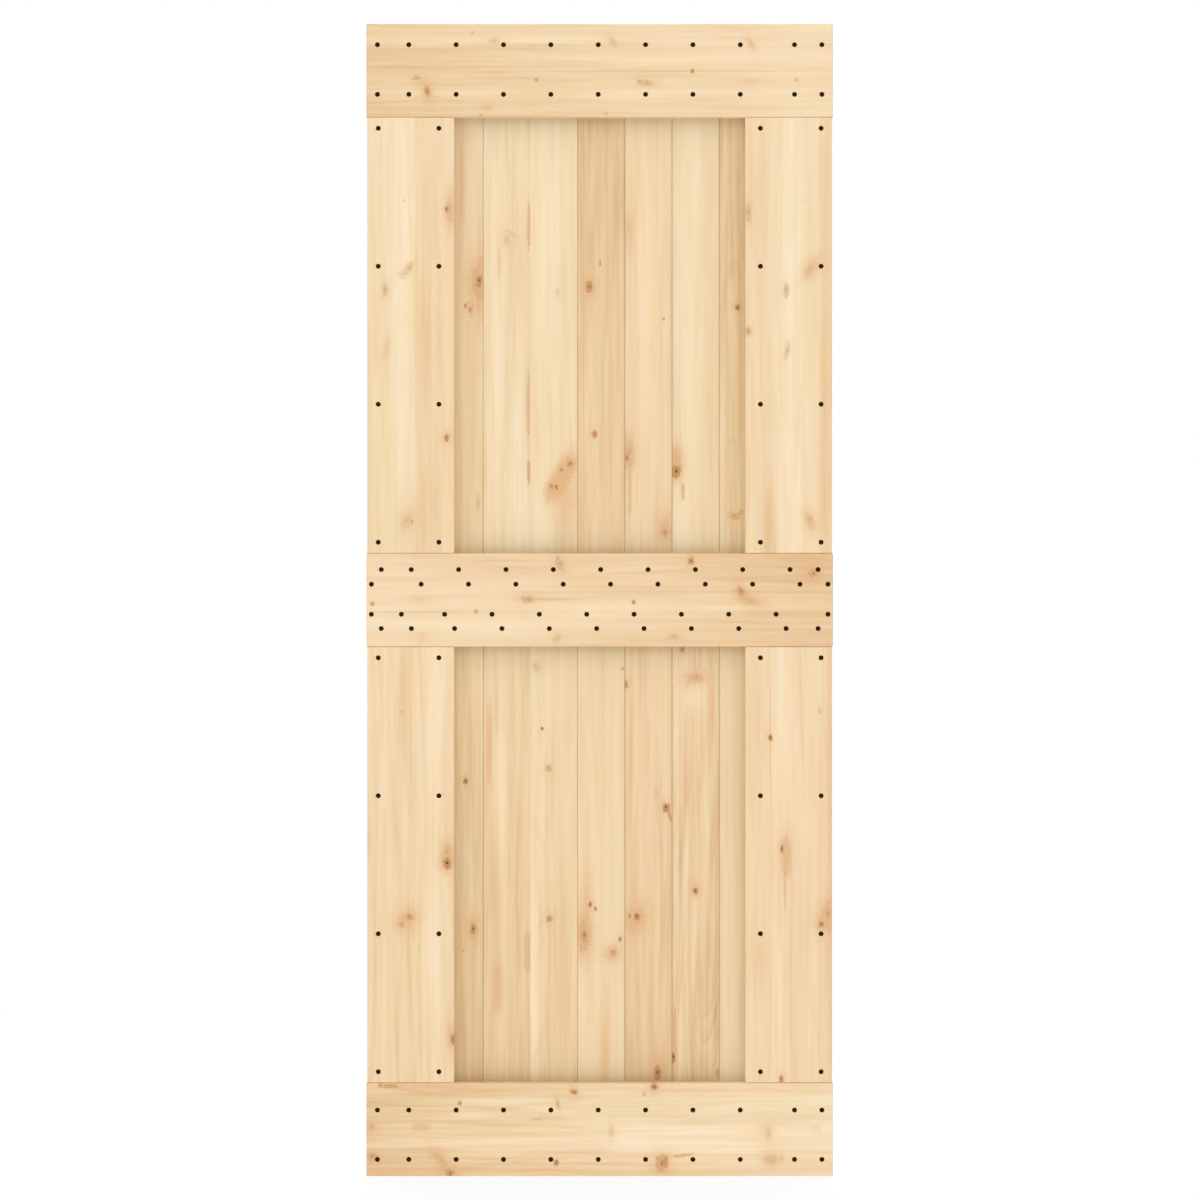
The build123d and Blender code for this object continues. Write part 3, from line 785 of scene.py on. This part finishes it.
# Middle rail: row, shift on the full boards, what the first of them adds to it, inset on the edge boards
FIRST_BOARD_EASE = 7.5 * MM
MIDDLE_RAIL_ROWS = (
    (29.5 * MM, -1.0 * MM, 0.0, 25.5 * MM),
    (56.2 * MM, 17.0 * MM, 0.0, 7.5 * MM),
    (-59.0 * MM, -26.5 * MM, FIRST_BOARD_EASE, 7.5 * MM),
    (-33.0 * MM, -8.3 * MM, FIRST_BOARD_EASE, 25.5 * MM),
)
STILE_ROWS = 4
STILE_END_INSET = 20.0 * MM
STILE_OUTER_INSET = 20.0 * MM
STILE_INNER_INSET = 27.5 * MM


def board_lines():
    """The middle lines of the full boards, from the left edges of all boards but the first."""
    edges = [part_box(f"upper_board_{number:02d}")[0].x for number in BOARDS][1:]
    pitch = (edges[-1] - edges[0]) / (len(edges) - 1)
    return [edges[0] - SEAM_GAP / 2 + pitch * (place + 0.5) for place in range(len(edges) - 1)]


def rail_rows(board_count):
    """Every row on the rails: the rail, the row, the shift on each full board, the inset at the edges."""
    straight = [RAIL_SHIFT] * (board_count - 1) + [LAST_SHIFT]
    rows = [("top_rail", row, straight, EDGE_INSET) for row in TOP_RAIL_ROWS]
    rows += [("bottom_rail", row, straight, EDGE_INSET) for row in BOTTOM_RAIL_ROWS]
    for row, shift, ease, edge in MIDDLE_RAIL_ROWS:
        rows.append(("middle_rail", row, [shift + ease] + [shift] * (board_count - 1), edge))
    return rows


def screw_places():
    """Where the middle of each screw head lies in the leaf's face."""
    lines = board_lines()
    panel_edge = -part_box("upper_board_01")[0].x
    places = []
    for rail, row, shifts, edge in rail_rows(len(lines)):
        low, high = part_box(rail)
        z = high.z - row if row > 0 else low.z - row
        columns = [edge - panel_edge, *(a + b for a, b in zip(lines, shifts)), panel_edge - edge]
        places += [(x, z) for x in columns]
    for stile in ("upper_left_stile", "upper_right_stile", "lower_left_stile", "lower_right_stile"):
        low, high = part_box(stile)
        left, right = STILE_OUTER_INSET, STILE_INNER_INSET
        if "right" in stile:
            left, right = right, left
        step = (high.z - low.z - 2 * STILE_END_INSET) / (STILE_ROWS - 1)
        heights = [low.z + STILE_END_INSET + step * row for row in range(STILE_ROWS)]
        places += [(x, z) for x in (low.x + left, high.x - right) for z in heights]
    return [Vector((x, cad_low.y + HEAD_BELOW_FACE, z)) for x, z in places]


def screw_nodes(material):
    """A countersunk cross-recessed screw, turned by chance, set on every given point."""
    group = bpy.data.node_groups.new("countersunk_screws", "GeometryNodeTree")
    group.interface.new_socket("Geometry", in_out="INPUT", socket_type="NodeSocketGeometry")
    for label in SCREW_SIZES:
        group.interface.new_socket(label, in_out="INPUT", socket_type="NodeSocketFloat")
    group.interface.new_socket("Seed", in_out="INPUT", socket_type="NodeSocketInt")
    group.interface.new_socket("Geometry", in_out="OUTPUT", socket_type="NodeSocketGeometry")
    t = Tree(group)
    given = t.node("NodeGroupInput").outputs

    def lowered(mesh, depth):
        shift = t.node("ShaderNodeCombineXYZ", {2: t.times(depth, -1.0)}).outputs[0]
        return t.node("GeometryNodeTransform", {"Geometry": mesh, "Translation": shift}).outputs[0]

    head = t.node("GeometryNodeMeshCone", {
        "Vertices": HEAD_SIDES, "Radius Top": given["Head Radius"], "Radius Bottom": given["Shank Radius"],
        "Depth": given["Head Depth"],
    }).outputs[0]

    # Each of the two crossed blades of the recess is a flattened four-sided cone that tapers downwards,
    # made 2 high about its middle and scaled to the recess
    recessed = t.node("GeometryNodeMeshBoolean", operation="DIFFERENCE", solver="EXACT")
    t.put(recessed.inputs["Mesh 1"], lowered(head, given["Head Depth"]))
    flat = t.node("ShaderNodeCombineXYZ", {
        0: given["Recess Span"], 1: given["Recess Width"], 2: given["Recess Depth"],
    }).outputs[0]
    for turn in (0.0, math.pi / 2):
        blade = t.node("GeometryNodeMeshCone", {
            "Vertices": 4, "Radius Top": 1.0, "Radius Bottom": RECESS_TAPER, "Depth": 2.0,
        }).outputs[0]
        blade = t.node("GeometryNodeTransform", {"Geometry": blade, "Scale": flat}).outputs[0]
        blade = lowered(blade, given["Recess Depth"])
        turned = t.node("GeometryNodeTransform", {"Geometry": blade, "Rotation": (0.0, 0.0, turn)})
        t.put(recessed.inputs["Mesh 2"], turned.outputs[0])

    shank = t.node("GeometryNodeMeshCone", {
        "Vertices": SHANK_SIDES, "Radius Top": given["Shank Radius"],
        "Radius Bottom": t.times(given["Shank Radius"], SHANK_TAPER), "Depth": given["Shank Length"],
    }).outputs[0]
    screw = t.node("GeometryNodeJoinGeometry")
    t.put(screw.inputs[0], recessed.outputs[0])
    t.put(screw.inputs[0], lowered(shank, t.add(given["Head Depth"], given["Shank Length"])))

    chance = t.node(
        "FunctionNodeRandomValue",
        {2: 0.0, 3: math.tau, "Seed": given["Seed"]},
        data_type="FLOAT",
    )
    spin = t.node("ShaderNodeCombineXYZ", {2: chance.outputs[1]}).outputs[0]
    placed = t.node("GeometryNodeInstanceOnPoints", {
        "Points": given["Geometry"], "Instance": screw.outputs[0], "Rotation": (math.pi / 2, 0.0, 0.0),
    }).outputs[0]
    placed = t.node("GeometryNodeRotateInstances", {"Instances": placed, "Rotation": spin}).outputs[0]
    whole = t.node("GeometryNodeRealizeInstances", {"Geometry": placed}).outputs[0]
    whole = t.node("GeometryNodeSetMaterial", {"Geometry": whole, "Material": material}).outputs[0]
    t.put(t.node("NodeGroupOutput").inputs[0], whole)
    return group


def make_screws():
    points = bpy.data.meshes.new("screw_points")
    points.from_pydata(screw_places(), [], [])
    holder = bpy.data.objects.new("screw_points", points)
    bpy.context.scene.collection.objects.link(holder)
    modifier = holder.modifiers.new("screws", "NODES")
    modifier.node_group = screw_nodes(screw_material())
    values = {**SCREW_SIZES, "Seed": TURN_SEED}
    for item in modifier.node_group.interface.items_tree:
        if item.in_out == "INPUT" and item.name in values:
            modifier[item.identifier] = values[item.name]
    depsgraph = bpy.context.evaluated_depsgraph_get()
    mesh = bpy.data.meshes.new_from_object(holder.evaluated_get(depsgraph))
    bpy.data.objects.remove(holder)
    screws = bpy.data.objects.new("screws", mesh)
    bpy.context.scene.collection.objects.link(screws)
    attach(screws, "root")


# Studio: a white surround with soft light from all round the leaf's front, and some on its back
AMBIENT = 0.4
SIDE_LIGHT = 0.15  # what each of the four front lights adds on the leaf's face
BACK_LIGHT = 0.45
LIGHT_SLANT = math.radians(55)
LIGHT_SPREAD = math.radians(60)
FLOOR_SIZE = 12.0
FLOOR_WHITE = (250, 250, 249)
SHADOW_SHARE = 0.16
SHADOW_REACH = 0.9


def make_world():
    """A white surround that lights the leaf less than it shows."""
    world = bpy.data.worlds.new("studio")
    bpy.context.scene.world = world
    world.use_nodes = True
    t = Tree(world.node_tree)
    t.tree.nodes.clear()
    path = t.node("ShaderNodeLightPath").outputs
    seen = t.most(t.most(path["Is Camera Ray"], path["Is Glossy Ray"]), path["Is Transmission Ray"])
    strength = t.times_add(seen, 1.0 - AMBIENT, AMBIENT)
    background = t.node("ShaderNodeBackground", {"Color": (1.0, 1.0, 1.0, 1.0), "Strength": strength})
    t.put(t.node("ShaderNodeOutputWorld").inputs["Surface"], background.outputs[0])


def make_light(name, towards_light, level):
    """A very soft distant light that adds the given level on a face that it meets at LIGHT_SLANT."""
    lamp = bpy.data.lights.new(name, "SUN")
    lamp.energy = level * math.pi / math.cos(LIGHT_SLANT)
    lamp.angle = LIGHT_SPREAD
    light = bpy.data.objects.new(name, lamp)
    light.rotation_euler = Vector(towards_light).to_track_quat("Z", "Y").to_euler()
    bpy.context.scene.collection.objects.link(light)


def make_lights():
    ahead, aside = -math.cos(LIGHT_SLANT), math.sin(LIGHT_SLANT)
    make_light("light_left", (-aside, ahead, 0.0), SIDE_LIGHT)
    make_light("light_right", (aside, ahead, 0.0), SIDE_LIGHT)
    make_light("light_above", (0.0, ahead, aside), SIDE_LIGHT)
    make_light("light_below", (0.0, ahead, -aside), SIDE_LIGHT)
    make_light("light_back", (0.0, -ahead, aside), BACK_LIGHT)


def make_floor():
    """A white floor that shows only the shade near the leaf's foot."""
    half = FLOOR_SIZE / 2
    corners = [(x * half, y * half, cad_low.z) for x, y in ((-1, -1), (1, -1), (1, 1), (-1, 1))]
    mesh = bpy.data.meshes.new("floor")
    mesh.from_pydata(corners, [], [(0, 1, 2, 3)])
    floor = bpy.data.objects.new("floor", mesh)
    bpy.context.scene.collection.objects.link(floor)
    floor.visible_diffuse = False
    floor.visible_shadow = False
    material = bpy.data.materials.new("floor_white")
    material.use_nodes = True
    t = Tree(material.node_tree)
    t.tree.nodes.clear()
    place = t.node("ShaderNodeSeparateXYZ", {0: t.node("ShaderNodeTexCoord").outputs["Object"]}).outputs
    near = t.bell(t.length(place[0], place[1]), 1 / SHADOW_REACH ** 2)
    matt = t.node("ShaderNodeBsdfDiffuse", {"Color": linear(*FLOOR_WHITE)}).outputs[0]
    white = t.node("ShaderNodeEmission", {"Color": (1.0, 1.0, 1.0, 1.0), "Strength": 1.0}).outputs[0]
    look = t.node("ShaderNodeMixShader", {0: t.times(near, SHADOW_SHARE), 1: white, 2: matt}).outputs[0]
    t.put(t.node("ShaderNodeOutputMaterial").inputs["Surface"], look)
    mesh.materials.append(material)


# Camera: straight in front of the leaf, at half its height
CAMERA_DISTANCE = 6.0
PICTURE_HEIGHT = 2.1868  # what the picture covers at the leaf's front
SENSOR = 36.0
CAMERA_ASIDE = 0.6 * MM


def make_camera():
    data = bpy.data.cameras.new("camera")
    data.sensor_width = SENSOR
    data.lens = SENSOR * CAMERA_DISTANCE / PICTURE_HEIGHT
    camera = bpy.data.objects.new("camera", data)
    camera.location = (CAMERA_ASIDE, cad_low.y - CAMERA_DISTANCE, (cad_low.z + cad_high.z) / 2)
    camera.rotation_euler = (math.pi / 2, 0.0, 0.0)
    bpy.context.scene.collection.objects.link(camera)
    bpy.context.scene.camera = camera


dress_planks()
make_screws()
make_world()
make_lights()
make_floor()
make_camera()
bpy.context.scene.view_settings.view_transform = "Standard"
